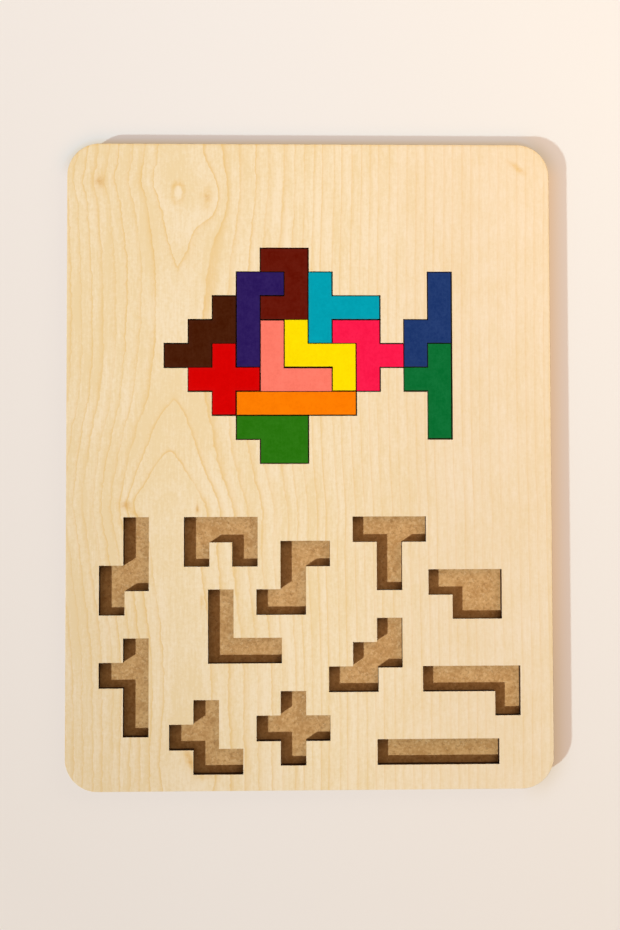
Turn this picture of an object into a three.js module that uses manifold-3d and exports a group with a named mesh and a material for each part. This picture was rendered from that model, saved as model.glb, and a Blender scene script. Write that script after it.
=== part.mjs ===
// Wooden pentomino puzzle board.
// A face board is cut through by one fish-shaped recess, which twelve painted pieces fill, and by
// twelve storage pockets, one in the outline of each piece. A hardboard back closes every recess.
// Millimetres, +Z up: X runs across the board and Y along it, with the fish towards +Y.
// The origin is the middle of the underside.

import * as THREE from "three";
import { mergeVertices } from "three/addons/utils/BufferGeometryUtils.js";
import Module from "manifold-3d";

const wasm = await Module();
wasm.setup();

// Driving dimensions
const CELL = 10; // side of one square of the grid that the pieces and recesses share
const FACE_THICKNESS = 3; // sheet that the recesses are cut through
const BACK_THICKNESS = 3; // sheet that makes the floor of the recesses
const PIECE_THICKNESS = 3; // pieces lie level with the face board
const RECESS_CLEARANCE = 0.28; // a recess is wider than the grid by this on every side
const PIECE_CLEARANCE = 0.16; // a piece is narrower than the grid by this on every side
const PIECE_EDGE = 0.1; // sanded edge round the top and the bottom of a piece
const BOARD_EDGE = 0.1; // sanded edge round the top and the bottom of the glued boards
const SIDE_MARGIN = 14; // board left of the leftmost pocket and right of the rightmost one
const HEAD_MARGIN = 44; // board above the fish
const FOOT_MARGIN = 7; // board below the lowest pocket
const CORNER_RADIUS = 13.5; // rounded corners of the two boards
const CORNER_STEPS = 8; // half the number of facets in a rounded corner
const CUT_OVERRUN = 1; // a cutter runs past the solid that it cuts by this

// Finishes
const MAPLE = { color: 0xf4dcb2, roughness: 0.45, metalness: 0 };
const HARDBOARD = { color: 0xbe8f5c, roughness: 0.8, metalness: 0 };
const PAINT = { roughness: 0.5, metalness: 0 };

// The fish: each letter marks the squares that the piece of that name fills.
const FISH = [
  "....uu......",
  "...llut....n",
  "..wluuttt..n",
  ".wwlvztff.nn",
  "wwxlvzzzffny",
  ".xxxvvvzf.yy",
  "..xiiiii...y",
  "...ppp.....y",
  "....pp......",
];

// Place of the fish's grid, in squares from the left margin and from the head margin.
const FISH_PLACE = { column: 2.65, row: 0 };

// Each piece's paint, how far it has settled to the right and towards the head as a share of its
// clearance, the outline of its storage pocket, and the pocket's place in squares from the left
// margin and from the head margin.
const PIECES = {
  f: { color: 0xfa1b4a, settled: [-0.1, 0], column: 2.9, row: 18.8, pocket: [".#.", "##.", ".##"] },
  i: { color: 0xfe7e01, settled: [-0.1, 0.3], column: 11.5, row: 20.45, pocket: ["#####"] },
  l: { color: 0x2d1b5b, settled: [0, 0.8], column: 13.4, row: 17.45, pocket: ["####", "...#"] },
  n: { color: 0x20386c, settled: [-0.2, 0.8], column: 0, row: 11.25, pocket: [".#", ".#", "##", "#."] },
  p: { color: 0x2b7410, settled: [0, -0.2], column: 13.65, row: 13.45, pocket: ["###", ".##"] },
  t: { color: 0x019fb0, settled: [-0.2, 0.8], column: 10.5, row: 11.25, pocket: ["###", ".#.", ".#."] },
  u: { color: 0x641508, settled: [-0.3, 0.3], column: 3.5, row: 11.25, pocket: ["###", "#.#"] },
  v: { color: 0xfe7c68, settled: [-0.2, -0.8], column: 4.5, row: 14.25, pocket: ["#..", "#..", "###"] },
  w: { color: 0x461b07, settled: [-0.3, -0.1], column: 9.5, row: 15.45, pocket: ["..#", ".##", "##."] },
  x: { color: 0xd80101, settled: [-1, 1], column: 6.5, row: 18.45, pocket: [".#.", "###", ".#."] },
  y: { color: 0x0c6d32, settled: [-0.7, 1], column: 0, row: 16.25, pocket: [".#", "##", ".#", ".#"] },
  z: { color: 0xffdf01, settled: [-0.2, 1], column: 6.5, row: 12.25, pocket: [".##", ".#.", "##."] },
};

// Columns and rows of the squares of a drawing that hold one of the given marks.
function squaresOf(drawing, marks) {
  return drawing.flatMap((line, row) =>
    [...line].flatMap((mark, column) => (marks.includes(mark) ? [{ column, row }] : [])),
  );
}

// Sides of the squares that face no other square, each from its start to its end, anticlockwise.
function openSides(squares) {
  const sides = new Map();
  for (const { column, row } of squares) {
    const corners = [
      [column, -row - 1],
      [column + 1, -row - 1],
      [column + 1, -row],
      [column, -row],
    ];
    corners.forEach((start, i) => {
      const end = corners[(i + 1) % corners.length];
      if (!sides.delete(`${end} ${start}`)) sides.set(`${start} ${end}`, { start, end });
    });
  }
  return [...sides.values()];
}

// Corners of the outline round the squares, in grid units, with the outward way at each corner.
function cornersOf(squares) {
  const sideFrom = new Map(openSides(squares).map((side) => [`${side.start}`, side]));
  const first = sideFrom.values().next().value;
  const corners = [];
  let side = first;
  do {
    const next = sideFrom.get(`${side.end}`);
    const outward = outwardOf(side).add(outwardOf(next));
    const straightOn = outwardOf(side).equals(outwardOf(next));
    if (!straightOn) corners.push({ point: new THREE.Vector2(...side.end), outward });
    side = next;
  } while (side !== first);
  return corners;
}

// Unit vector that points out of the outline across one of its sides.
function outwardOf({ start, end }) {
  return new THREE.Vector2(end[1] - start[1], start[0] - end[0]);
}

// The outline in millimetres at a place on the grid, let out or taken in by a clearance.
function outlineOf(squares, place, clearance) {
  return cornersOf(squares).map(({ point, outward }) =>
    new THREE.Vector2(place.column, -place.row)
      .add(point)
      .multiplyScalar(CELL)
      .addScaledVector(outward, clearance),
  );
}

// Recesses
const fishSquares = squaresOf(FISH, Object.keys(PIECES));
const fishRecess = outlineOf(fishSquares, FISH_PLACE, RECESS_CLEARANCE);
const pockets = Object.values(PIECES).map((piece) =>
  outlineOf(squaresOf(piece.pocket, "#"), piece, RECESS_CLEARANCE),
);
const recesses = [fishRecess, ...pockets];

// Board outline, from the grid that the recesses take up and the margins round it
function gridExtent() {
  const right = (lines, place) => place.column + Math.max(...lines.map((line) => line.length));
  const foot = (lines, place) => place.row + lines.length;
  const all = Object.values(PIECES);
  const columns = Math.max(right(FISH, FISH_PLACE), ...all.map((p) => right(p.pocket, p)));
  const rows = Math.max(foot(FISH, FISH_PLACE), ...all.map((p) => foot(p.pocket, p)));
  return { columns, rows };
}
const extent = gridExtent();
const BOARD_WIDTH = extent.columns * CELL + 2 * SIDE_MARGIN;
const BOARD_LENGTH = extent.rows * CELL + HEAD_MARGIN + FOOT_MARGIN;

// The grid's corner stands at the left margin and the head margin of the centred board.
const gridCorner = new THREE.Vector2(SIDE_MARGIN - BOARD_WIDTH / 2, BOARD_LENGTH / 2 - HEAD_MARGIN);

function boardOutline() {
  const x = BOARD_WIDTH / 2 - CORNER_RADIUS;
  const y = BOARD_LENGTH / 2 - CORNER_RADIUS;
  const centres = [
    [x, y],
    [-x, y],
    [-x, -y],
    [x, -y],
  ];
  const quarter = Math.PI / 2;
  const shape = new THREE.Shape();
  centres.forEach(([cx, cy], i) => {
    shape.absarc(cx, cy, CORNER_RADIUS, i * quarter, (i + 1) * quarter);
  });
  return shape;
}

function sheet(shape, thickness) {
  return new THREE.ExtrudeGeometry(shape, { depth: thickness, bevelEnabled: false });
}

// A sheet with a sanded edge round its top and its bottom.
function sandedSheet(shape, thickness, edge) {
  const geometry = new THREE.ExtrudeGeometry(shape, {
    depth: thickness - 2 * edge,
    bevelThickness: edge,
    bevelSize: edge,
    bevelOffset: -edge,
    bevelSegments: 1,
    curveSegments: CORNER_STEPS,
  });
  return geometry.translate(0, 0, edge);
}

// A closed geometry as a solid that can be cut.
function solidOf(geometry) {
  geometry.deleteAttribute("normal");
  geometry.deleteAttribute("uv");
  const merged = mergeVertices(geometry);
  const vertProperties = merged.attributes.position.array;
  const triVerts = Uint32Array.from(merged.index.array);
  return new wasm.Manifold(new wasm.Mesh({ numProp: 3, vertProperties, triVerts }));
}

// A solid as a geometry with flat faces.
function geometryOf(solid) {
  const { vertProperties, triVerts } = solid.getMesh();
  const shared = new THREE.BufferGeometry();
  shared.setAttribute("position", new THREE.BufferAttribute(vertProperties, 3));
  shared.setIndex(new THREE.BufferAttribute(triVerts, 1));
  const geometry = shared.toNonIndexed();
  geometry.computeVertexNormals();
  return geometry;
}

function node(name, geometry, finish, floor) {
  const mesh = new THREE.Mesh(geometry, new THREE.MeshStandardMaterial(finish));
  mesh.name = name;
  mesh.position.z = floor;
  return mesh;
}

// The two boards are sanded round their outside together, so each is a layer of one block.
function boardLayer(floor, thickness) {
  const block = sandedSheet(boardOutline(), BACK_THICKNESS + FACE_THICKNESS, BOARD_EDGE);
  const width = BOARD_WIDTH + 2 * CUT_OVERRUN;
  const length = BOARD_LENGTH + 2 * CUT_OVERRUN;
  const layer = new THREE.BoxGeometry(width, length, thickness);
  return solidOf(block).intersect(solidOf(layer.translate(0, 0, floor + thickness / 2)));
}

function backBoard() {
  return node("back_board", geometryOf(boardLayer(0, BACK_THICKNESS)), HARDBOARD, 0);
}

// A prism in a recess's outline that runs right through the face board.
function recessCutter(recess) {
  const shape = new THREE.Shape(recess.map((point) => point.add(gridCorner)));
  const cutter = sheet(shape, FACE_THICKNESS + 2 * CUT_OVERRUN);
  return solidOf(cutter.translate(0, 0, BACK_THICKNESS - CUT_OVERRUN));
}

function faceBoard() {
  const blank = boardLayer(BACK_THICKNESS, FACE_THICKNESS);
  const cut = recesses.map(recessCutter).reduce((board, cutter) => board.subtract(cutter), blank);
  return node("face_board", geometryOf(cut), MAPLE, 0);
}

// A piece rests on the back board inside the fish, a little off the middle of its squares.
function pentomino(letter, { color, settled }) {
  const outline = outlineOf(squaresOf(FISH, letter), FISH_PLACE, -PIECE_CLEARANCE);
  const place = gridCorner.clone().addScaledVector(new THREE.Vector2(...settled), PIECE_CLEARANCE);
  const shape = new THREE.Shape(outline.map((point) => point.add(place)));
  const geometry = sandedSheet(shape, PIECE_THICKNESS, PIECE_EDGE);
  return node(`pentomino_${letter}`, geometry, { ...PAINT, color }, BACK_THICKNESS);
}

const puzzle = new THREE.Group();
puzzle.name = "wooden_puzzle";
puzzle.add(backBoard(), faceBoard());
for (const [letter, piece] of Object.entries(PIECES)) {
  puzzle.add(pentomino(letter, piece));
}

export default puzzle;
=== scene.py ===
"""Looks of a wooden pentomino puzzle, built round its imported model: maple face, hardboard back,
painted pieces, a plain pale table and soft light. Lengths are in metres, apart from names that end
in _MM and the figures of the finishes, which are drawn in millimetres."""

import math
from typing import NamedTuple

import bmesh
import bpy
from mathutils import Color, Matrix, Vector


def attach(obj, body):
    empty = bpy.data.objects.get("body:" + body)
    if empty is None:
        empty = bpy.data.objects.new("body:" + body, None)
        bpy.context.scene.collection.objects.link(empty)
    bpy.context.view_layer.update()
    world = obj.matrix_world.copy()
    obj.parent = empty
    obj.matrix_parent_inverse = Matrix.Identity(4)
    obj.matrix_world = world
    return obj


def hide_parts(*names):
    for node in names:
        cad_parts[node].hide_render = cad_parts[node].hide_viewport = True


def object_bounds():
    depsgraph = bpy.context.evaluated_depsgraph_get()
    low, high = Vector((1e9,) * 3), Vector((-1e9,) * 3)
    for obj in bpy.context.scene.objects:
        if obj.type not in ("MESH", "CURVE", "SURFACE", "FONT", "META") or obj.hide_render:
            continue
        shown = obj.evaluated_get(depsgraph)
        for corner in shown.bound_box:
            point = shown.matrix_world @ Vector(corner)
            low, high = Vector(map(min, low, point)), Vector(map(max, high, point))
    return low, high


bl_info = {
    "name": "Wooden Pentomino Puzzle",
    "version": (1, 0, 0),
    "blender": (4, 5, 0),
    "location": "View3D > Sidebar > Puzzle",
    "description": "Dresses a pentomino puzzle board and its painted pieces",
    "category": "Object",
}

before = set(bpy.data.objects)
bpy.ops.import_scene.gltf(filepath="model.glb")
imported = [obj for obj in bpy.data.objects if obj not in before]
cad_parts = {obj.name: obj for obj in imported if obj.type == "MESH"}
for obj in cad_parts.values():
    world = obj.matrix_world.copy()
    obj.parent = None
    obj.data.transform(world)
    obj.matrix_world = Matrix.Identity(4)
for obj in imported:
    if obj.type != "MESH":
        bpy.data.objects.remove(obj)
CAD_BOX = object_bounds()

MM = 0.001
LETTERS = sorted(node[-1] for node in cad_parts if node.startswith("pentomino_"))
FULL_LEVEL = 255


def linear(hex_colour):
    """A colour written as rrggbb on screen, as the linear values that Blender's sockets take."""
    levels = [level / FULL_LEVEL for level in bytes.fromhex(hex_colour)]
    return tuple(Color(levels).from_srgb_to_scene_linear())


def colour_property(name, description, hex_colour):
    """A colour that a user can change."""
    return bpy.props.FloatVectorProperty(
        name=name,
        description=description,
        subtype="COLOR",
        min=0.0,
        max=1.0,
        default=linear(hex_colour),
    )


def length_property(name, description, millimetres):
    """A length that a user can change."""
    return bpy.props.FloatProperty(
        name=name,
        description=description,
        unit="LENGTH",
        min=0.0,
        default=millimetres * MM,
    )


def amount_property(name, description, default, subtype="NONE"):
    """A lamp's strength or a lens that a user can change."""
    return bpy.props.FloatProperty(
        name=name,
        description=description,
        subtype=subtype,
        min=0.0,
        default=default,
    )


class MapleLook(bpy.types.PropertyGroup):
    """Colours and figure of the maple face."""

    pale: colour_property("Pale wood", "Wood between two growth lines", "f9e2bd")
    warm: colour_property("Warm wood", "Wood in the darker streaks", "f2d6a5")
    # Painted shade: tint that darkens the wood towards the left and the foot.
    foot: colour_property("Foot tone", "Tint of the wood towards the left and the foot", "f0eff1")
    # Painted shade: tint that darkens the wood a little towards the right, against the fill lamp's extra
    # light there.
    side: colour_property("Side tone", "Tint of the wood towards the right", "faf9fe")
    line: colour_property("Growth line", "Thin line that ends each year's growth", "edc582")
    knot: colour_property("Knot", "Small knots and gum marks", "d9a04e")
    ring_width: length_property("Ring width", "Width of one year's growth", 3.8)
    line_edge: length_property("Line edge", "Width of a growth line's sharp side", 0.45)
    line_fade: length_property("Line fade", "Length over which a growth line fades", 0.7)


class EdgeLook(bpy.types.PropertyGroup):
    """Colours of the scorched edges that cutting leaves."""

    char: colour_property("Char", "Darkest burn on a cut edge", "170d07")
    scorch: colour_property("Scorch", "Lighter burn on a cut edge", "4a2710")


class HardboardLook(bpy.types.PropertyGroup):
    """Colours of the hardboard back."""

    body: colour_property("Body", "Main colour of the board", "d3a46b")
    dark: colour_property("Dark patches", "Denser pulp", "b98850")
    # Painted shade: tint that darkens the board towards the left and the foot.
    foot_shade_tone: colour_property("Worn tone", "Tint of the board towards the left and the foot", "dfe6e0")
    fibre: colour_property("Dark fibre", "Dark fibres and bark flecks", "74491f")
    straw: colour_property("Pale fibre", "Pale straw-like fibres", "e6c08c")


class PaintLook(bpy.types.PropertyGroup):
    """Paint of each piece, by the letter that its outline makes."""

    f: colour_property("F", "Crimson paint", "fa1b4a")
    i: colour_property("I", "Orange paint", "fe7e01")
    l: colour_property("L", "Indigo paint", "2d1b5b")
    n: colour_property("N", "Blue paint", "20386c")
    p: colour_property("P", "Leaf green paint", "2b7410")
    t: colour_property("T", "Turquoise paint", "019fb0")
    u: colour_property("U", "Maroon paint", "641508")
    v: colour_property("V", "Salmon paint", "fe7c68")
    w: colour_property("W", "Brown paint", "461b07")
    x: colour_property("X", "Red paint", "d80101")
    y: colour_property("Y", "Bottle green paint", "0c6d32")
    z: colour_property("Z", "Yellow paint", "ffdf01")
    edge_round: length_property("Edge round", "Rounding of a piece's painted edges", 0.06)
    rim: length_property("Rim", "Width of the thinner paint along a piece's edges", 1.6)


class StageLook(bpy.types.PropertyGroup):
    """Table, lamps and camera."""

    table: colour_property("Table", "Plain pale table top", "f3eae0")
    backdrop: colour_property("Backdrop", "Plain pale wall behind the table", "f3eae2")
    shade: colour_property("Table shade", "Share of the table's colour that a shadow takes away", "949f9b")
    glow_foot: colour_property("Foot glow", "Table's own light at the lower left", "c1aa9e")
    glow_head: colour_property("Head glow", "Table's own light at the upper right", "d3beb5")
    bounce: colour_property("Bounce", "Tint of the shade close beside the board", "ffeac8")
    nook: colour_property("Nook", "Tint of the narrow shade above the board", "dae9f4")
    key_colour: colour_property("Key colour", "Low light from the left and the foot", "e6f4ff")
    fill_colour: colour_property("Fill colour", "Broad light from the upper right", "ffe2c5")
    room_colour: colour_property("Room colour", "Soft light round the key and even light", "ffd9b4")
    key_strength: amount_property("Key strength", "Strength of the low light", 5.45)
    fill_strength: amount_property("Fill strength", "Power of the broad light", 0.57, "POWER")
    halo_strength: amount_property("Halo strength", "Strength of the soft light round the key", 0.45)
    world_strength: amount_property("Room light", "Even light from all round", 0.1)
    lens: amount_property("Lens", "Focal length on a 36 mm frame", 35.43, "DISTANCE_CAMERA")


LOOKS = {
    "puzzle_maple": MapleLook,
    "puzzle_edge": EdgeLook,
    "puzzle_hardboard": HardboardLook,
    "puzzle_paint": PaintLook,
    "puzzle_stage": StageLook,
}


class Ramp(NamedTuple):
    """A smooth change: where it starts, where it ends, and its whole amount."""

    start: float
    end: float
    amount: float = 1.0


class Hill(NamedTuple):
    """A bell shape: where its top is, how far it reaches to each side, and its height."""

    centre: float
    reach: float
    height: float = 1.0


class Mark(NamedTuple):
    """A bell-shaped mark on the board: its place, its reach along and across its own direction, its
    strength, and how far that direction is turned from X."""

    place: tuple
    along: float
    across: float
    strength: float = 1.0
    turn: float = 0.0


class Speckle(NamedTuple):
    """Cloudy noise: its scale, its detail, its roughness and its strength."""

    scale: float
    detail: float
    roughness: float = 0.5
    strength: float = 1.0


class Fibres(NamedTuple):
    """Noise drawn out along the board: its sizes across and along the board, and its strength."""

    across: float
    along: float
    detail: float = 2.0
    strength: float = 1.0


class Threads(NamedTuple):
    """Thin broken curves: the scale of the noise that they follow, its shift, and their strength."""

    scale: float
    shift: float
    strength: float


class Wire:
    """A node's output socket. Python's operators on it add Math nodes."""

    def __init__(self, nodes, socket):
        self.nodes = nodes
        self.socket = socket

    def __add__(self, other):
        return self.nodes.math("ADD", self, other)

    def __sub__(self, other):
        return self.nodes.math("SUBTRACT", self, other)

    def __rsub__(self, other):
        return self.nodes.math("SUBTRACT", other, self)

    def __mul__(self, other):
        return self.nodes.math("MULTIPLY", self, other)

    def __truediv__(self, other):
        return self.nodes.math("DIVIDE", self, other)

    def __neg__(self):
        return self * -1.0

    __radd__ = __add__
    __rmul__ = __mul__


class Nodes:
    """A node tree under construction."""

    def __init__(self, owner):
        owner.use_nodes = True
        self.tree = owner.node_tree
        self.tree.nodes.clear()

    def add(self, kind, settings=None, inputs=None, output=0):
        """Adds a node: its settings first, then the values or wires of its sockets."""
        node = self.tree.nodes.new(kind)
        for name, value in (settings or {}).items():
            setattr(node, name, value)
        for name, value in (inputs or {}).items():
            socket = node.inputs[name]
            if isinstance(value, Wire):
                self.tree.links.new(value.socket, socket)
            else:
                socket.default_value = value
        return None if output is None else Wire(self, node.outputs[output])

    def math(self, operation, first, second=0.0):
        return self.add("ShaderNodeMath", {"operation": operation}, {0: first, 1: second})

    def looked_at(self):
        """1 for what is seen, directly, in gloss or through glass, and 0 for what lights the object."""
        rays = ("Is Camera Ray", "Is Glossy Ray", "Is Transmission Ray")
        direct, glossy, through = (self.add("ShaderNodeLightPath", output=ray) for ray in rays)
        return self.math("MINIMUM", direct + glossy + through, 1.0)

    def mix_shaders(self, share, first, second):
        return self.add("ShaderNodeMixShader", inputs={0: share, 1: first, 2: second})

    def seen_or_lighting(self, seen, lighting):
        """One shader where it is looked at, and another where it lights the object."""
        return self.mix_shaders(self.looked_at(), lighting, seen)

    def end(self, output_kind, shader):
        self.add(output_kind, inputs={"Surface": shader}, output=None)


# Sockets of the Mix node that carry colours. Their names aren't unique.
MIX_SHARE = 0
MIX_FIRST = 6
MIX_SECOND = 7
MIX_RESULT = 2

NOISE_MEAN = 0.5


class Finish(Nodes):
    """A material under construction."""

    def __init__(self, name):
        self.material = bpy.data.materials.new(name)
        super().__init__(self.material)
        place = self.add("ShaderNodeTexCoord", output="Object")
        scaled = {"Vector": place, "Scale": 1 / MM}
        self.place_mm = self.add("ShaderNodeVectorMath", {"operation": "SCALE"}, scaled)
        self.x, self.y, self.z = self.split(self.place_mm)
        facing = self.add("ShaderNodeTexCoord", output="Normal")
        self.facing_up = self.split(facing)[2]

    def split(self, vector):
        """The three numbers of a vector."""
        node = self.add("ShaderNodeSeparateXYZ", inputs={0: vector}).socket.node
        return [Wire(self, socket) for socket in node.outputs]

    def join(self, x, y, z):
        return self.add("ShaderNodeCombineXYZ", inputs={0: x, 1: y, 2: z})

    def length(self, x, y):
        """Length of the long side of a right triangle."""
        return self.math("SQRT", x * x + y * y)

    def between(self, value, least, most):
        return self.math("MINIMUM", self.math("MAXIMUM", value, least), most)

    def lifted(self, share, least):
        """A share that starts from a least value instead of 0."""
        return share * (1.0 - least) + least

    def smooth(self, value, ramp, first, last):
        """A smooth step from the first amount at a ramp's start to the last one at its end."""
        sockets = {
            "Value": value,
            "From Min": ramp.start,
            "From Max": ramp.end,
            "To Min": first,
            "To Max": last,
        }
        return self.add("ShaderNodeMapRange", {"interpolation_type": "SMOOTHSTEP"}, sockets)

    def rise(self, value, ramp):
        """Nothing up to a ramp's start, and its whole amount past its end."""
        return self.smooth(value, ramp, 0.0, ramp.amount)

    def fall(self, value, ramp):
        """A ramp's whole amount up to its start, and nothing past its end."""
        return self.smooth(value, ramp, ramp.amount, 0.0)

    def hill(self, value, hill):
        off = (value - hill.centre) / hill.reach
        return self.math("EXPONENT", -(off * off)) * hill.height

    def mark(self, mark):
        along = self.x - mark.place[0]
        across = self.y - mark.place[1]
        if mark.turn:
            cos = math.cos(mark.turn)
            sin = math.sin(mark.turn)
            along, across = along * cos + across * sin, across * cos - along * sin
        narrow = self.hill(across, Hill(0.0, mark.across))
        return self.hill(along, Hill(0.0, mark.along, mark.strength)) * narrow

    def speckle(self, speckle, vector=None):
        """Soft noise about 0, on the board or on a vector."""
        sockets = {
            "Vector": self.place_mm if vector is None else vector,
            "Scale": speckle.scale,
            "Detail": speckle.detail,
            "Roughness": speckle.roughness,
        }
        return (self.add("ShaderNodeTexNoise", inputs=sockets) - NOISE_MEAN) * speckle.strength

    def fibres(self, fibres):
        """Soft noise about 0, drawn out along the board."""
        stretched = self.join(self.x / fibres.across, self.y / fibres.along, self.z / fibres.along)
        return self.speckle(Speckle(1.0, fibres.detail, strength=fibres.strength), stretched)

    def mix(self, share, first, second, blend_type="MIX"):
        """A blend of two colours."""
        settings = {"data_type": "RGBA", "blend_type": blend_type, "clamp_factor": True}
        sockets = {MIX_SHARE: share, MIX_FIRST: opaque(first), MIX_SECOND: opaque(second)}
        return self.add("ShaderNodeMix", settings, sockets, MIX_RESULT)

    def tint(self, share, colour, filter_colour):
        """A colour seen through a filter, by a share."""
        return self.mix(share, colour, filter_colour, "MULTIPLY")

    def surface(self, colour, roughness, gloss, height, relief_mm):
        """Ends the material with one surface, with its gloss and its relief."""
        bump = {"Height": height, "Distance": relief_mm * MM, "Strength": 1.0}
        sockets = {
            "Base Color": colour,
            "Roughness": roughness,
            "Specular IOR Level": gloss,
            "Normal": self.add("ShaderNodeBump", inputs=bump),
        }
        self.end("ShaderNodeOutputMaterial", self.add("ShaderNodeBsdfPrincipled", inputs=sockets))
        return self.material


def opaque(colour):
    """A colour as the four numbers that a colour socket takes. Wires pass through."""
    return colour if isinstance(colour, Wire) else (*tuple(colour)[:3], 1.0)


BOARD_HALF_MM = tuple(v / MM for v in CAD_BOX[1][:2])
CORNER_RADIUS_MM = 13.5
BOARD_GLOSS = 0.2


def outside_board(finish):
    """Distance outside the board's rounded outline, in millimetres. It is negative on the board."""
    half_x, half_y = BOARD_HALF_MM
    across = finish.math("ABSOLUTE", finish.x) - (half_x - CORNER_RADIUS_MM)
    along = finish.math("ABSOLUTE", finish.y) - (half_y - CORNER_RADIUS_MM)
    corner = finish.length(finish.math("MAXIMUM", across, 0.0), finish.math("MAXIMUM", along, 0.0))
    inner = finish.math("MINIMUM", finish.math("MAXIMUM", across, along), 0.0)
    return corner + inner - CORNER_RADIUS_MM


# Painted shade: the board is tinted darker towards its lower left corner.
FOOT_WAY = (-0.7, -0.5)
FOOT_REACH = Ramp(20.0, 140.0)


def towards_foot(finish):
    """A share that grows from 0 in the middle to 1 at the lower left corner."""
    return finish.rise(finish.x * FOOT_WAY[0] + finish.y * FOOT_WAY[1], FOOT_REACH)


# Places of the marks in the maple
PIN_KNOT = (-87.4, 118.4)
PALE_EYE = (-54.7, 113.8)
SIDE_KNOT = (-42.7, 111.8)
GOLD_STREAK = (-42.0, 80.0)
CORNER_DASH = (87.4, 124.9)
ARCH_FOOT = (-70.0, -16.0)
GUM_MARK = (-76.3, -16.7)
GUM_DASH = (-46.7, -18.4)
GUM_TAIL = (-73.0, -19.8)
FOOT_GUM = (-44.8, -57.1)
FOOT_KNOT = (-49.8, -121.5)
FOOT_SMEAR = (-44.0, -128.6)

# The heart lies below the left third of the face. Where it dips or rises, the rings close to an arch.
HEART_X_MM = -54.9
HEART_DEPTH_MM = 10.0
INNER_ARCH_DIP = Ramp(-14.0, 10.0, 4.6)
OUTER_ARCH_DIP = Ramp(4.0, 30.0, 3.4)
HEAD_CLIMB = Ramp(78.0, 125.0, 3.3)
SADDLE = Hill(54.0, 20.0, 1.0)
ARCH_SPREAD = Hill(-20.0, 9.0, 4.5)
SLOPE_STEP_MM = 0.5


def heart_depth(finish, y):
    """How far below the face the heart lies, in millimetres."""
    dips = finish.rise(y, INNER_ARCH_DIP) + finish.rise(y, OUTER_ARCH_DIP) + finish.hill(y, SADDLE)
    climbs = finish.hill(y, ARCH_SPREAD) + finish.rise(y, HEAD_CLIMB)
    return dips - climbs + HEART_DEPTH_MM


# The heart line waves and bends on the left, and the rings stand straighter and wider on the right.
LONG_WAVES = Fibres(30.0, 70.0, 1.0, 2.2)
SHORT_WAVES = Speckle(0.14, 3.0, 0.6, 2.2)
SHIVER = Speckle(0.45, 2.0, 0.6, 1.2)
WAIST_BEND = Hill(-5.0, 30.0, 3.6)
FOOT_BEND = Ramp(-90.0, -35.0, 4.0)
STRAIGHT_SIDE = Ramp(-30.0, 15.0, 0.85)
HEAD_KINK = Hill(119.0, 7.0, 2.0)
KINKED_SIDE = Ramp(-60.0, -45.0)
ARCH_FLARE = Mark(ARCH_FOOT, 6.0, 5.5, 3.0)
KNOT_PARTING = Mark(FOOT_KNOT, 12.0, 16.0, 0.4)
WIDE_FROM_MM = 8.0
WIDE_REACH_MM = 38.0
WIDE_SHARE = 0.3
CLOSE_RINGS = Hill(-14.5, 11.0, 2.2)
CLOSE_HEAD = Ramp(40.0, 90.0)


def heart_offset(finish):
    """How far each point lies to the right of the heart line, in millimetres."""
    bend = finish.hill(finish.y, WAIST_BEND) - finish.fall(finish.y, FOOT_BEND)
    waves = finish.fibres(LONG_WAVES) + finish.speckle(SHORT_WAVES) + finish.speckle(SHIVER) + bend
    unsteady = 1.0 - finish.rise(finish.x, STRAIGHT_SIDE)
    kink = finish.hill(finish.y, HEAD_KINK) * finish.fall(finish.x, KINKED_SIDE)
    parting = (FOOT_KNOT[0] - finish.x) * finish.mark(KNOT_PARTING)
    offset = finish.x - HEART_X_MM + waves * unsteady + kink + finish.mark(ARCH_FLARE) + parting
    wide_right = finish.between(offset - WIDE_FROM_MM, 0.0, WIDE_REACH_MM) * WIDE_SHARE
    close_left = finish.hill(offset, CLOSE_RINGS) * finish.rise(finish.y, CLOSE_HEAD)
    return offset - wide_right - close_left


# Rings are counted from the heart. They swirl at a knot, come to a point, and vary in width further out.
FIRST_RING = 0.25
RING_SWIRL = Mark(SIDE_KNOT, 8.0, 11.0, 1.2)
POINT_REACH_MM = 10.0
POINT_SHARE = 0.05
YEAR_PITCH = 0.83
YEAR_SLICE = 7.0
UNEVEN_YEARS = Speckle(1.0, 1.0, strength=0.8)
UNEVEN_FROM = Ramp(5.0, 7.0)


def count_rings(finish, look):
    """Growth rings between the heart and each point, and how steeply the rings meet the face there."""
    across = heart_offset(finish)
    depth = heart_depth(finish, finish.y)
    ahead = heart_depth(finish, finish.y + SLOPE_STEP_MM)
    behind = heart_depth(finish, finish.y - SLOPE_STEP_MM)
    climb = depth * ((ahead - behind) / (2 * SLOPE_STEP_MM))
    radius = finish.length(across, depth)
    steepness = finish.length(across, climb) / radius
    point = finish.math("MINIMUM", finish.math("ABSOLUTE", across), POINT_REACH_MM) * POINT_SHARE
    rings = (radius + point) / (look.ring_width / MM) - finish.mark(RING_SWIRL) + FIRST_RING
    years = finish.join(rings * YEAR_PITCH, 0.0, YEAR_SLICE)
    uneven = finish.speckle(UNEVEN_YEARS, years) * finish.rise(rings, UNEVEN_FROM)
    return rings + uneven, steepness


LEAST_STEEPNESS = 0.12
WIDE_LINES = Mark(GOLD_STREAK, 8.0, 16.0, 2.5)
LINE_END = Ramp(0.25, 0.5)


def growth_lines(finish, look, rings, steepness):
    """Strength of the thin line that ends each growth ring: sharp on its inner side, fading outwards."""
    shifted = rings + 0.5
    part = finish.math("FRACT", shifted) - 0.5
    distance = part * (look.ring_width / MM) / finish.math("MAXIMUM", steepness, LEAST_STEEPNESS)
    reach = (finish.mark(WIDE_LINES) + 1.0) * (look.line_fade / MM)
    fade = finish.math("EXPONENT", -(finish.math("MAXIMUM", distance, 0.0) / reach))
    start = finish.rise(distance, Ramp(-look.line_edge / MM, 0.0))
    line = finish.math("MINIMUM", start, fade) * finish.fall(part, LINE_END)
    return line * year_strength(finish, finish.math("FLOOR", shifted))


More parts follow.
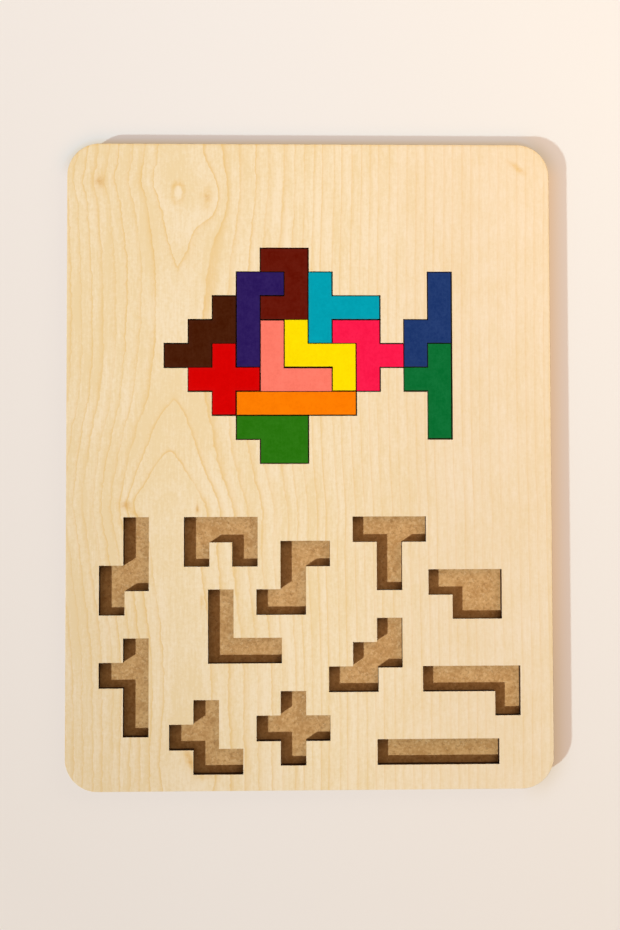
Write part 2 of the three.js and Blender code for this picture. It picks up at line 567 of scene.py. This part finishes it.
# Two arches are the first lines to show. The next years are as bold as listed, and later ones vary.
INNER_ARCH = 4
OUTER_ARCH = 5
YEAR_BOLDNESS = (1.0, 0.6, 0.9, 0.4, 0.7, 0.8, 0.6, 0.7)
ONE_YEAR = 0.3
DRAW_SEED = 1.37
LEAST_DRAWN = 0.5
LEAST_BOLD = 0.2
LEAST_WHOLE = 0.4
LINE_BREAKS = Fibres(6.0, 26.0)
BREAK_EDGE = Ramp(-0.35, 0.12)
ABOVE_ARCH = Ramp(20.0, 40.0)


def year_strength(finish, year):
    """Some years leave a bold line and others hardly any, and each line comes and goes along its length."""
    noise = finish.add("ShaderNodeTexWhiteNoise", {"noise_dimensions": "1D"}, {"W": year * DRAW_SEED})
    last = OUTER_ARCH + len(YEAR_BOLDNESS)
    later = finish.lifted(noise, LEAST_DRAWN) * finish.rise(year, Ramp(last, last + 1))
    bold = later + finish.fall(year, Ramp(OUTER_ARCH, OUTER_ARCH + 1))
    for count, boldness in enumerate(YEAR_BOLDNESS, start=OUTER_ARCH + 1):
        bold = bold + finish.hill(year, Hill(count, ONE_YEAR, boldness))
    whole = finish.rise(finish.fibres(LINE_BREAKS), BREAK_EDGE)
    hidden = finish.rise(finish.y, ABOVE_ARCH) * finish.fall(year, Ramp(INNER_ARCH, OUTER_ARCH))
    shown = finish.rise(year, Ramp(INNER_ARCH - 1, INNER_ARCH)) * (1.0 - hidden)
    return finish.lifted(bold, LEAST_BOLD) * finish.lifted(whole, LEAST_WHOLE) * shown


# Unevenness of the plain wood. Each pair is a strength at the left and a strength at the right.
CALM_SIDE = Ramp(-5.0, 75.0)
MEAN_WARMTH = 0.5
# Painted shade: the plain wood turns warmer and darker towards the left.
LEFT_WARM_SHADE = Ramp(-100.0, 0.0, 0.25)
PATCHES = Fibres(26.0, 60.0, 3.0, 0.8)
BANDS = Speckle(1.0, 2.0)
BAND_PITCH = 0.7
BAND_LENGTH_MM = 40.0
BAND_SLICE = 5.0
BAND_STRENGTH = (2.0, 0.6)
STREAKS = Fibres(1.3, 26.0, 3.0)
STREAK_STRENGTH = (1.2, 0.4)
FINE_STREAKS = Fibres(0.7, 5.0)
FINE_STRENGTH = (1.4, 1.1)
SPECKS = Speckle(0.7, 3.0, 0.75)
SPECK_STRENGTH = (2.2, 1.4)
BLOTCHES = Speckle(0.09, 2.0)
BLOTCH_STRENGTH = (0.0, 0.8)


def wood_warmth(finish, rings, calm):
    """How warm the plain wood is, from patches, bands, streaks and specks, and from painted shade to the
    left.
    """
    years = finish.join(rings * BAND_PITCH, finish.y / BAND_LENGTH_MM, BAND_SLICE)
    uneven = (
        (finish.speckle(BANDS, years), BAND_STRENGTH),
        (finish.fibres(STREAKS), STREAK_STRENGTH),
        (finish.fibres(FINE_STREAKS), FINE_STRENGTH),
        (finish.speckle(SPECKS), SPECK_STRENGTH),
        (finish.speckle(BLOTCHES), BLOTCH_STRENGTH),
    )
    warmth = finish.fibres(PATCHES) + finish.fall(finish.x, LEFT_WARM_SHADE) + MEAN_WARMTH
    for noise, (left, right) in uneven:
        warmth = warmth + noise * (calm * (right - left) + left)
    return warmth


EYE_HALF_MM = (2.1, 3.7)
EYE_RAGGED = Speckle(0.4, 2.0, strength=0.7)
EYE_INNER = Ramp(0.6, 1.0)
EYE_OUTER = Ramp(1.0, 1.9)
EYE_BROW = Ramp(-1.0, 1.0, 0.45)
EYE_LEAST = 0.4


def eye_ring(finish):
    """Strength of the ring round the pale eye: boldest above it, and fading out into the wood."""
    across = (finish.x - PALE_EYE[0]) / EYE_HALF_MM[0]
    along = (finish.y - PALE_EYE[1]) / EYE_HALF_MM[1]
    reach = finish.length(across, along) + finish.speckle(EYE_RAGGED)
    ring = finish.rise(reach, EYE_INNER) * finish.fall(reach, EYE_OUTER)
    return ring * (finish.rise(along, EYE_BROW) + EYE_LEAST)


# Amber wood round the knots and gum marks, and the darker marks themselves
ASLANT = math.radians(-35.0)
UPWARDS = math.radians(110.0)
AMBER_MARKS = (
    Mark(PIN_KNOT, 3.0, 5.0, 0.4),
    Mark(SIDE_KNOT, 2.0, 5.5, 0.6),
    Mark(CORNER_DASH, 4.0, 1.2, 0.9, ASLANT),
    Mark(GUM_MARK, 3.0, 2.4, 0.4),
    Mark(GUM_TAIL, 3.2, 1.2, 0.7, ASLANT),
    Mark(GUM_DASH, 1.4, 3.2, 0.4),
    Mark(FOOT_GUM, 1.0, 3.6, 0.7),
    Mark(FOOT_KNOT, 6.0, 2.2, 0.8, UPWARDS),
    Mark(FOOT_SMEAR, 4.0, 1.4, 0.6),
)
KNOT_MARKS = (
    Mark(PIN_KNOT, 1.8, 2.0, 0.5),
    Mark(SIDE_KNOT, 0.9, 1.2, 0.45),
    Mark(GUM_MARK, 1.5, 1.5, 0.6),
    Mark(GUM_DASH, 0.5, 1.6, 0.6),
    Mark(FOOT_KNOT, 4.0, 0.9, 0.5, UPWARDS),
)
MARK_MEAN = 0.9
MARK_BREAKS = Speckle(0.5, 3.0, 0.7, 2.2)


def broken_marks(finish, marks, other=0.0):
    """Strength of some marks and of another figure, with small unevenness in their colour."""
    broken = finish.math("MAXIMUM", finish.speckle(MARK_BREAKS) + MARK_MEAN, 0.0)
    return sum((finish.mark(mark) for mark in marks), other) * broken


PALE_PUPIL = Mark(PALE_EYE, 1.5, 2.9, 1.2)
LINE_BOLDNESS = 0.93
FAINT_SIDE = Ramp(-40.0, 75.0, 0.51)
FAINT_FOOT = 0.06
# Painted shade: an amber rim along the board's right and top edges, beside its shadow.
BOARD_RIM_SHADE = Hill(0.0, 0.8, 0.45)
BOARD_RIM_SHADE_SIDE = Ramp(-40.0, 60.0)
FOOT_SHADE_SHARE = 0.9


def maple_colour(finish, look):
    """Colour of the planed maple face."""
    rings, steepness = count_rings(finish, look)
    calm = finish.rise(finish.x, CALM_SIDE)
    foot = towards_foot(finish)
    warmth = wood_warmth(finish, rings, calm) - finish.mark(PALE_PUPIL)
    plain = finish.mix(warmth, look.pale, look.warm)
    boldness = LINE_BOLDNESS - finish.rise(finish.x, FAINT_SIDE) - foot * FAINT_FOOT
    lines = growth_lines(finish, look, rings, steepness) * boldness
    # Painted shade: amber rim on the right and top edges only.
    rim_shade_side = finish.rise(finish.x + finish.y, BOARD_RIM_SHADE_SIDE)
    rim = finish.hill(outside_board(finish), BOARD_RIM_SHADE) * rim_shade_side
    amber = broken_marks(finish, AMBER_MARKS, eye_ring(finish))
    lined = finish.mix(lines + rim + amber, plain, look.line)
    marked = finish.mix(broken_marks(finish, KNOT_MARKS), lined, look.knot)
    # Painted shade darkens the wood towards the lower left.
    foot_shaded = finish.tint(foot * FOOT_SHADE_SHARE, marked, look.foot)
    # Painted shade darkens the wood a little towards the right.
    return finish.tint(calm, foot_shaded, look.side)


BURN_STREAKS = Speckle(2.6, 3.0, 0.6)
BURN_STRETCH = 0.12
BURN_EDGE = Ramp(-0.12, 0.28)
GLUE_LINE = Hill(3.0, 0.15)
HARDBOARD_BROWNNESS = 0.1


def scorched_colour(finish, edge, brownness=0.0):
    """Colour of an edge cut by burning: dark, with fine streaks through the thickness, and darkest where
    the two sheets are glued."""
    run = finish.join(finish.x + finish.y, finish.x - finish.y, finish.z * BURN_STRETCH)
    brown = finish.rise(finish.speckle(BURN_STREAKS, run) + brownness, BURN_EDGE)
    return finish.mix(brown - finish.hill(finish.z, GLUE_LINE), edge.char, edge.scorch)


MAPLE_TOP = Ramp(0.45, 0.85)
MAPLE_PORES = Fibres(0.25, 4.0)
MAPLE_ROUGHNESS = 0.5
MAPLE_SHEEN = Fibres(0.8, 12.0, strength=0.1)
PORE_RELIEF_MM = 0.01


def maple_finish(look, edge):
    finish = Finish("maple_face")
    top = finish.rise(finish.facing_up, MAPLE_TOP)
    colour = finish.mix(top, scorched_colour(finish, edge), maple_colour(finish, look))
    roughness = finish.fibres(MAPLE_SHEEN) + MAPLE_ROUGHNESS
    return finish.surface(colour, roughness, BOARD_GLOSS, finish.fibres(MAPLE_PORES), PORE_RELIEF_MM)


THREAD_NOISE = Speckle(1.0, 3.0, 0.6)
THREAD_BREAKS = Speckle(2.2, 1.0)
THREAD_WIDTH = Ramp(0.0, 0.07)
THREAD_KEPT = Ramp(0.02, 0.14)


def threads_of(finish, threads):
    """Thin broken curves: the contour of one noise, kept where another is high."""
    shift = {0: finish.place_mm, 1: (threads.shift,) * 3}
    shifted = finish.add("ShaderNodeVectorMath", {"operation": "ADD"}, shift)
    contour, breaks = (
        finish.speckle(noise._replace(scale=noise.scale * threads.scale), shifted)
        for noise in (THREAD_NOISE, THREAD_BREAKS)
    )
    curves = finish.fall(finish.math("ABSOLUTE", contour), THREAD_WIDTH)
    return curves * finish.rise(breaks, THREAD_KEPT) * threads.strength


PULP_MOTTLE = Speckle(0.22, 4.0, 0.6)
PULP_GRAIN = Speckle(0.75, 3.0, 0.6, 1.3)
PULP_BLEND = Ramp(-0.3, 0.3)
PALE_THREADS = Threads(0.33, 21.0, 0.4)
DARK_THREADS = Threads(0.42, 57.0, 0.35)
FLECKS = Speckle(0.5, 2.0)
FLECK_EDGE = Ramp(0.17, 0.27, 0.3)
HARDBOARD_FOOT_SHADE = 0.6
DARK_PATCH = Mark((56.0, -118.0), 40.0, 14.0, 0.5)


def hardboard_colour(finish, look):
    """Mottled pressed pulp with dark and pale fibres lying every way."""
    pulp = finish.rise(finish.speckle(PULP_MOTTLE) + finish.speckle(PULP_GRAIN), PULP_BLEND)
    ground = finish.mix(pulp, look.body, look.dark)
    strawed = finish.mix(threads_of(finish, PALE_THREADS), ground, look.straw)
    flecks = finish.rise(finish.speckle(FLECKS), FLECK_EDGE)
    flecked = finish.mix(threads_of(finish, DARK_THREADS) + flecks, strawed, look.fibre)
    # Painted shade darkens the hardboard towards the lower left; a darker patch lies at the lower right.
    shade_and_patch = towards_foot(finish) * HARDBOARD_FOOT_SHADE + finish.mark(DARK_PATCH)
    return finish.tint(shade_and_patch, flecked, look.foot_shade_tone)


FLAT_FACES = Ramp(0.55, 0.8)
PULP_SKIN = Speckle(0.9, 3.0, 0.6)
PULP_ROUGHNESS = 0.62
PULP_UNEVENNESS = 0.2
PULP_RELIEF_MM = 0.02


def hardboard_finish(look, edge):
    finish = Finish("hardboard")
    flat = finish.rise(finish.math("ABSOLUTE", finish.facing_up), FLAT_FACES)
    burnt = scorched_colour(finish, edge, HARDBOARD_BROWNNESS)
    colour = finish.mix(flat, burnt, hardboard_colour(finish, look))
    skin = finish.speckle(PULP_SKIN)
    roughness = skin * PULP_UNEVENNESS + PULP_ROUGHNESS
    return finish.surface(colour, roughness, BOARD_GLOSS, skin, PULP_RELIEF_MM)


RIM_LAYER = "rim"
PAINT_GLOSS = 0.02
PAINT_ROUGHNESS = 0.4
PAINT_UNEVENNESS = 0.1
PAINT_TOP = Ramp(0.7, 0.95)
PAINT_CONTRAST = 0.04
PAINT_BLEND = Ramp(-0.35, 0.35)
PAINT_CLOUDS = Speckle(0.2, 2.0, strength=0.6)
PAINT_GRAIN = Speckle(0.9, 2.0, 0.7)
PAINT_STREAKS = Fibres(0.5, 6.0, strength=0.3)
THIN_SHARE = 0.5
THIN_DEPTH = 0.96
THIN_HAZE = 0.003
SKIN_GRAIN = Speckle(2.2, 3.0)
SKIN_STREAKS = Fibres(0.4, 5.0)
SKIN_RELIEF_MM = 0.01


def paint_finish(letter, paint, edge, maple):
    """Satin paint on top, scorched sides, bare wood below."""
    finish = Finish(f"paint_{letter}")
    lighter = tuple(v + PAINT_CONTRAST * math.sqrt(v) for v in paint)
    deeper = tuple(max(v - PAINT_CONTRAST * math.sqrt(v), 0.0) for v in paint)
    thinner = tuple(v * THIN_DEPTH + THIN_HAZE for v in paint)
    grain = finish.speckle(PAINT_GRAIN) + finish.fibres(PAINT_STREAKS)
    mottle = finish.speckle(PAINT_CLOUDS) + grain
    body = finish.mix(finish.rise(mottle, PAINT_BLEND), lighter, deeper)
    rim = finish.add("ShaderNodeAttribute", {"attribute_name": RIM_LAYER}, output="Fac")
    painted = finish.mix(rim * THIN_SHARE, body, thinner)
    below = finish.rise(-finish.facing_up, FLAT_FACES)
    sides = finish.mix(below, scorched_colour(finish, edge), maple.warm)
    colour = finish.mix(finish.rise(finish.facing_up, PAINT_TOP), sides, painted)
    roughness = mottle * PAINT_UNEVENNESS + PAINT_ROUGHNESS
    skin = finish.speckle(SKIN_GRAIN) + finish.fibres(SKIN_STREAKS)
    return finish.surface(colour, roughness, PAINT_GLOSS, skin, SKIN_RELIEF_MM)


# The table's own light grows towards the upper right. The shade beside the board is warm.
GLOW_REACH_MM = (115.0, 170.0)
GLOW_RISE = (0.18, 0.32)
GLOW_MEAN = 0.5
WARM_TABLE = Ramp(-60.0, 130.0, 0.2)
BOARD_SHADE = Hill(0.0, 6.0)
HEAD_SHADE = Ramp(1.8, 5.2)
LOW_SHADE = Ramp(-110.0, -40.0, 0.5)
FAR_TABLE = Ramp(250.0, 900.0)


def table_glow(finish, look):
    """The table's own light, with the tints of the shade to the right of the board and above its head."""
    across = finish.x / GLOW_REACH_MM[0] * GLOW_RISE[0]
    along = finish.y / GLOW_REACH_MM[1] * GLOW_RISE[1]
    plain_glow = finish.mix(across + along + GLOW_MEAN, look.glow_foot, look.glow_head)
    open_glow = finish.tint(finish.rise(finish.x, WARM_TABLE), plain_glow, look.bounce)
    half_x, half_y = BOARD_HALF_MM
    right = finish.rise(finish.x, Ramp(half_x - CORNER_RADIUS_MM, half_x))
    head = finish.rise(finish.y, Ramp(half_y - CORNER_RADIUS_MM, half_y))
    gap = finish.math("MAXIMUM", outside_board(finish), 0.0)
    near = finish.hill(gap, BOARD_SHADE)
    near_head = finish.fall(gap, HEAD_SHADE)
    warm = finish.tint(finish.math("MAXIMUM", near * right, near_head * head), open_glow, look.bounce)
    low = finish.fall(finish.y, LOW_SHADE)
    return finish.tint(near * finish.math("MAXIMUM", head, right * low), warm, look.nook)


def table_finish(look):
    """Plain table: where it is seen it glows a little, so that the shadow on it stays light and warm.
    Far from the board it runs into the backdrop."""
    finish = Finish("table")
    lighting = finish.add("ShaderNodeBsdfDiffuse", inputs={"Color": opaque(look.table)})
    shade = finish.add("ShaderNodeBsdfDiffuse", inputs={"Color": opaque(look.shade)})
    glow = finish.add("ShaderNodeEmission", inputs={"Color": table_glow(finish, look)})
    near = finish.add("ShaderNodeAddShader", inputs={0: shade, 1: glow})
    backdrop = finish.add("ShaderNodeEmission", inputs={"Color": opaque(look.backdrop)})
    far = finish.rise(finish.length(finish.x, finish.y), FAR_TABLE)
    seen = finish.mix_shaders(far, near, backdrop)
    finish.end("ShaderNodeOutputMaterial", finish.seen_or_lighting(seen, lighting))
    return finish.material


def new_object(name, bm):
    """An object at the origin that holds the finished mesh."""
    mesh = bpy.data.meshes.new(name)
    bm.to_mesh(mesh)
    bm.free()
    obj = bpy.data.objects.new(name, mesh)
    bpy.context.scene.collection.objects.link(obj)
    return obj


def dress(obj, material):
    obj.data.materials.clear()
    obj.data.materials.append(material)


MERGE_REACH = 0.001 * MM
FLAT_ANGLE = math.radians(1.0)
ROUND_SEGMENTS = 2
QUAD_SIDES = 4


def rounded_piece(node, edge_round, rim):
    """A copy of a piece's solid with soft edges, and an attribute that is 1 along its painted edges."""
    bm = bmesh.new()
    bm.from_mesh(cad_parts[node].data)
    bmesh.ops.remove_doubles(bm, verts=bm.verts, dist=MERGE_REACH)
    bmesh.ops.dissolve_limit(bm, angle_limit=FLAT_ANGLE, verts=bm.verts, edges=bm.edges)
    bmesh.ops.bevel(
        bm,
        geom=bm.edges,
        offset=edge_round,
        affect="EDGES",
        segments=ROUND_SEGMENTS,
        profile=0.5,
        material=-1,
        clamp_overlap=True,
    )
    layer = bm.verts.layers.float.new(RIM_LAYER)
    for vert in bm.verts:
        vert[layer] = 1.0
    top = max(bm.faces, key=lambda face: face.calc_area() * face.normal.z)
    bmesh.ops.inset_region(bm, faces=[top], thickness=rim, use_even_offset=True)
    for vert in top.verts:
        vert[layer] = 0.0
    bmesh.ops.triangulate(bm, faces=[face for face in bm.faces if len(face.verts) > QUAD_SIDES])
    return bm


class PUZZLE_OT_face_board(bpy.types.Operator):
    """Dress the face board in maple with scorched cut edges"""

    bl_idname = "puzzle.face_board"
    bl_label = "Face Board"

    def execute(self, context):
        scene = context.scene
        dress(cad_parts["face_board"], maple_finish(scene.puzzle_maple, scene.puzzle_edge))
        return {"FINISHED"}


class PUZZLE_OT_back_board(bpy.types.Operator):
    """Dress the back board in hardboard"""

    bl_idname = "puzzle.back_board"
    bl_label = "Back Board"

    def execute(self, context):
        scene = context.scene
        dress(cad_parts["back_board"], hardboard_finish(scene.puzzle_hardboard, scene.puzzle_edge))
        return {"FINISHED"}


class PUZZLE_OT_pieces(bpy.types.Operator):
    """Make the painted pieces with soft edges"""

    bl_idname = "puzzle.pieces"
    bl_label = "Painted Pieces"

    def execute(self, context):
        scene = context.scene
        paint = scene.puzzle_paint
        for letter in LETTERS:
            node = f"pentomino_{letter}"
            piece = new_object(f"painted_{letter}", rounded_piece(node, paint.edge_round, paint.rim))
            finish = paint_finish(letter, getattr(paint, letter), scene.puzzle_edge, scene.puzzle_maple)
            dress(piece, finish)
            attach(piece, f"piece_{letter}")
            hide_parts(node)
        return {"FINISHED"}


# Camera and lamps, from the photograph's view: straight above, a little to the left and the foot.
CAMERA_PLACE = Vector((-6.66, -9.88, 386.73)) * MM
CAMERA_TARGET = Vector((0.07, -0.24, 6.0)) * MM
CAMERA_ROLL = math.radians(-0.143)
CLIP_START = 1.0 * MM
FRAME_SIDE_MM = 36.0
UPRIGHT = Vector((0.0, 1.0, 0.0))
KEY_FROM = Vector((-1.57, -1.03, 1.0))
KEY_SPREAD = math.radians(2.0)
HALO_FROM = Vector((-0.9, -0.6, 1.3))
HALO_SPREAD = math.radians(80.0)
FILL_PLACE = Vector((0.3, 0.22, 0.28))
FILL_SIZE = 0.3
TABLE_SIZE = 6.0
TABLE_GAP = 0.02 * MM


class PUZZLE_OT_stage(bpy.types.Operator):
    """Set the table, the lamps, the room light and the camera"""

    bl_idname = "puzzle.stage"
    bl_label = "Stage"

    def execute(self, context):
        look = context.scene.puzzle_stage
        self.table(look)
        self.lamps(look)
        self.room(context.scene, look)
        self.camera(context.scene, look)
        context.scene.view_settings.view_transform = "Standard"
        return {"FINISHED"}

    def table(self, look):
        bm = bmesh.new()
        under = Matrix.Translation((0.0, 0.0, -TABLE_GAP))
        bmesh.ops.create_grid(bm, x_segments=1, y_segments=1, size=TABLE_SIZE / 2, matrix=under)
        table = new_object("table", bm)
        dress(table, table_finish(look))

    def lamps(self, look):
        self.sun("key", KEY_FROM, KEY_SPREAD, look.key_strength, look.key_colour)
        self.sun("halo", HALO_FROM, HALO_SPREAD, look.halo_strength, look.room_colour)
        fill = bpy.data.lights.new("fill", "AREA")
        fill.size = FILL_SIZE
        fill.energy = look.fill_strength
        fill.color = look.fill_colour
        self.aim(fill, FILL_PLACE, Vector()).visible_camera = False

    def sun(self, name, place, spread, strength, colour):
        lamp = bpy.data.lights.new(name, "SUN")
        lamp.angle = spread
        lamp.energy = strength
        lamp.color = colour
        self.aim(lamp, place, Vector())

    def aim(self, data, place, target, roll=0.0):
        """Puts a lamp or camera at a place, facing a target, with the board's +Y upright in its view."""
        obj = bpy.data.objects.new(data.name, data)
        bpy.context.scene.collection.objects.link(obj)
        forward = (target - place).normalized()
        right = forward.cross(UPRIGHT).normalized()
        turn = Matrix((right, right.cross(forward), -forward)).transposed().to_4x4()
        obj.matrix_world = Matrix.Translation(place) @ turn @ Matrix.Rotation(roll, 4, "Z")
        return obj

    def room(self, scene, look):
        world = bpy.data.worlds.new("room")
        nodes = Nodes(world)
        light = {"Color": opaque(look.room_colour), "Strength": look.world_strength}
        lighting = nodes.add("ShaderNodeBackground", inputs=light)
        seen = nodes.add("ShaderNodeBackground", inputs={"Color": opaque(look.backdrop)})
        nodes.end("ShaderNodeOutputWorld", nodes.seen_or_lighting(seen, lighting))
        scene.world = world

    def camera(self, scene, look):
        lens = bpy.data.cameras.new("camera")
        lens.lens = look.lens
        lens.sensor_width = FRAME_SIDE_MM
        lens.clip_start = CLIP_START
        scene.camera = self.aim(lens, CAMERA_PLACE, CAMERA_TARGET, CAMERA_ROLL)


OPERATORS = (PUZZLE_OT_face_board, PUZZLE_OT_back_board, PUZZLE_OT_pieces, PUZZLE_OT_stage)


class PUZZLE_PT_sidebar(bpy.types.Panel):
    """Steps and looks of the puzzle"""

    bl_idname = "PUZZLE_PT_sidebar"
    bl_label = "Pentomino Puzzle"
    bl_space_type = "VIEW_3D"
    bl_region_type = "UI"
    bl_category = "Puzzle"

    def draw(self, context):
        for operator in OPERATORS:
            self.layout.operator(operator.bl_idname)
        for name, look in LOOKS.items():
            box = self.layout.box()
            for field in look.__annotations__:
                box.prop(getattr(context.scene, name), field)


CLASSES = (*LOOKS.values(), *OPERATORS, PUZZLE_PT_sidebar)


def register():
    for cls in CLASSES:
        bpy.utils.register_class(cls)
    for name, look in LOOKS.items():
        setattr(bpy.types.Scene, name, bpy.props.PointerProperty(type=look))


def unregister():
    for name in LOOKS:
        delattr(bpy.types.Scene, name)
    for cls in reversed(CLASSES):
        bpy.utils.unregister_class(cls)


def main():
    register()
    bpy.ops.puzzle.face_board()
    bpy.ops.puzzle.back_board()
    bpy.ops.puzzle.pieces()
    bpy.ops.puzzle.stage()


if __name__ == "__main__":
    main()
